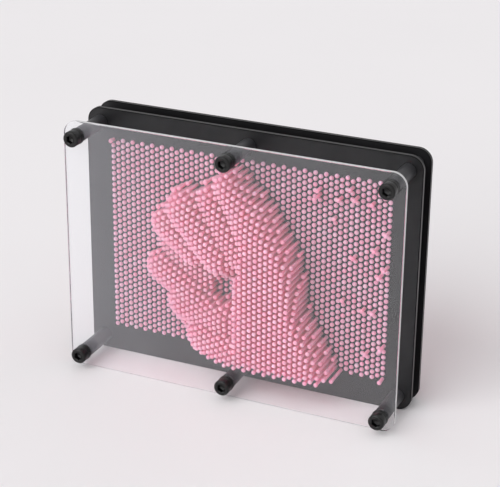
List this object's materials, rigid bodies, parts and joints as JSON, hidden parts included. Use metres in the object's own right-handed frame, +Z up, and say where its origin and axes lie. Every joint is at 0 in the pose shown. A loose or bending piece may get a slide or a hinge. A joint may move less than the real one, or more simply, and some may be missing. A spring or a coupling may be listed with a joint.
{
  "type": "pin art impression toy",
  "caption": "Standing pin art toy: pink pins slide through two black perforated plates behind a clear cover and hold a relief of a fist.",
  "frame": {"origin": "on the ground under the middle of the width and of the depth from cap screws to pin tails, in the stored pose", "axes": "+Z up, the clear cover faces -Y, +X to the right seen from the front"},
  "size_m": [0.2, 0.0758, 0.15],
  "materials": {
    "clear_cover": "gloss",
    "plate_black": "satin",
    "cap_black": "satin",
    "washer_black": "satin",
    "spacer_grey": "satin",
    "pin_pink": "satin"
  },
  "bodies": {
    "toy_frame": {"front_cover": "clear_cover", "front_plate": "plate_black", "back_plate": "plate_black", "cap_screw_top_left": "cap_black", "washer_top_left": "washer_black", "long_spacer_top_left": "spacer_grey", "short_spacer_top_left": "spacer_grey", "rear_nut_top_left": "cap_black", "cap_screw_top_middle": "cap_black", "washer_top_middle": "washer_black", "long_spacer_top_middle": "spacer_grey", "short_spacer_top_middle": "spacer_grey", "rear_nut_top_middle": "cap_black", "cap_screw_top_right": "cap_black", "washer_top_right": "washer_black", "long_spacer_top_right": "spacer_grey", "short_spacer_top_right": "spacer_grey", "rear_nut_top_right": "cap_black", "cap_screw_bottom_left": "cap_black", "washer_bottom_left": "washer_black", "long_spacer_bottom_left": "spacer_grey", "short_spacer_bottom_left": "spacer_grey", "rear_nut_bottom_left": "cap_black", "cap_screw_bottom_middle": "cap_black", "washer_bottom_middle": "washer_black", "long_spacer_bottom_middle": "spacer_grey", "short_spacer_bottom_middle": "spacer_grey", "rear_nut_bottom_middle": "cap_black", "cap_screw_bottom_right": "cap_black", "washer_bottom_right": "washer_black", "long_spacer_bottom_right": "spacer_grey", "short_spacer_bottom_right": "spacer_grey", "rear_nut_bottom_right": "cap_black"},
    "pins_resting_left": {"pins_resting_left": "pin_pink"},
    "pins_resting_right": {"pins_resting_right": "pin_pink"},
    "pins_level_01": {"pins_level_01": "pin_pink"},
    "pins_level_02": {"pins_level_02": "pin_pink"},
    "pins_level_03": {"pins_level_03": "pin_pink"},
    "pins_level_04": {"pins_level_04": "pin_pink"},
    "pins_level_05": {"pins_level_05": "pin_pink"},
    "pins_level_06": {"pins_level_06": "pin_pink"},
    "pins_level_07": {"pins_level_07": "pin_pink"},
    "pins_level_08": {"pins_level_08": "pin_pink"},
    "pins_level_09": {"pins_level_09": "pin_pink"},
    "pins_level_10": {"pins_level_10": "pin_pink"},
    "pins_level_11": {"pins_level_11": "pin_pink"},
    "pins_level_12": {"pins_level_12": "pin_pink"},
    "pins_level_13": {"pins_level_13": "pin_pink"},
    "pins_level_14": {"pins_level_14": "pin_pink"},
    "pins_level_15": {"pins_level_15": "pin_pink"},
    "pins_level_16": {"pins_level_16": "pin_pink"},
    "pins_level_17": {"pins_level_17": "pin_pink"},
    "pins_level_18": {"pins_level_18": "pin_pink"},
    "pins_level_19": {"pins_level_19": "pin_pink"}
  },
  "joints": [
    {"name": "push_resting_left", "type": "slide", "parent": "toy_frame", "child": "pins_resting_left", "axis": [0, -1, 0], "range_m": [0, 0.0234]},
    {"name": "push_resting_right", "type": "slide", "parent": "toy_frame", "child": "pins_resting_right", "axis": [0, -1, 0], "range_m": [0, 0.0234]},
    {"name": "push_level_01", "type": "slide", "parent": "toy_frame", "child": "pins_level_01", "axis": [0, -1, 0], "range_m": [-0.00074, 0.02158]},
    {"name": "push_level_02", "type": "slide", "parent": "toy_frame", "child": "pins_level_02", "axis": [0, -1, 0], "range_m": [-0.00207, 0.02036]},
    {"name": "push_level_03", "type": "slide", "parent": "toy_frame", "child": "pins_level_03", "axis": [0, -1, 0], "range_m": [-0.00309, 0.01924]},
    {"name": "push_level_04", "type": "slide", "parent": "toy_frame", "child": "pins_level_04", "axis": [0, -1, 0], "range_m": [-0.00433, 0.01792]},
    {"name": "push_level_05", "type": "slide", "parent": "toy_frame", "child": "pins_level_05", "axis": [0, -1, 0], "range_m": [-0.00561, 0.0167]},
    {"name": "push_level_06", "type": "slide", "parent": "toy_frame", "child": "pins_level_06", "axis": [0, -1, 0], "range_m": [-0.0069, 0.01543]},
    {"name": "push_level_07", "type": "slide", "parent": "toy_frame", "child": "pins_level_07", "axis": [0, -1, 0], "range_m": [-0.00807, 0.01432]},
    {"name": "push_level_08", "type": "slide", "parent": "toy_frame", "child": "pins_level_08", "axis": [0, -1, 0], "range_m": [-0.00928, 0.01297]},
    {"name": "push_level_09", "type": "slide", "parent": "toy_frame", "child": "pins_level_09", "axis": [0, -1, 0], "range_m": [-0.01054, 0.0117]},
    {"name": "push_level_10", "type": "slide", "parent": "toy_frame", "child": "pins_level_10", "axis": [0, -1, 0], "range_m": [-0.01174, 0.01047]},
    {"name": "push_level_11", "type": "slide", "parent": "toy_frame", "child": "pins_level_11", "axis": [0, -1, 0], "range_m": [-0.01304, 0.00925]},
    {"name": "push_level_12", "type": "slide", "parent": "toy_frame", "child": "pins_level_12", "axis": [0, -1, 0], "range_m": [-0.01418, 0.00801]},
    {"name": "push_level_13", "type": "slide", "parent": "toy_frame", "child": "pins_level_13", "axis": [0, -1, 0], "range_m": [-0.01547, 0.00683]},
    {"name": "push_level_14", "type": "slide", "parent": "toy_frame", "child": "pins_level_14", "axis": [0, -1, 0], "range_m": [-0.01663, 0.00554]},
    {"name": "push_level_15", "type": "slide", "parent": "toy_frame", "child": "pins_level_15", "axis": [0, -1, 0], "range_m": [-0.01791, 0.00431]},
    {"name": "push_level_16", "type": "slide", "parent": "toy_frame", "child": "pins_level_16", "axis": [0, -1, 0], "range_m": [-0.0191, 0.00309]},
    {"name": "push_level_17", "type": "slide", "parent": "toy_frame", "child": "pins_level_17", "axis": [0, -1, 0], "range_m": [-0.02038, 0.00185]},
    {"name": "push_level_18", "type": "slide", "parent": "toy_frame", "child": "pins_level_18", "axis": [0, -1, 0], "range_m": [-0.02158, 0.00066]},
    {"name": "push_level_19", "type": "slide", "parent": "toy_frame", "child": "pins_level_19", "axis": [0, -1, 0], "range_m": [-0.02286, 0]}
  ]
}
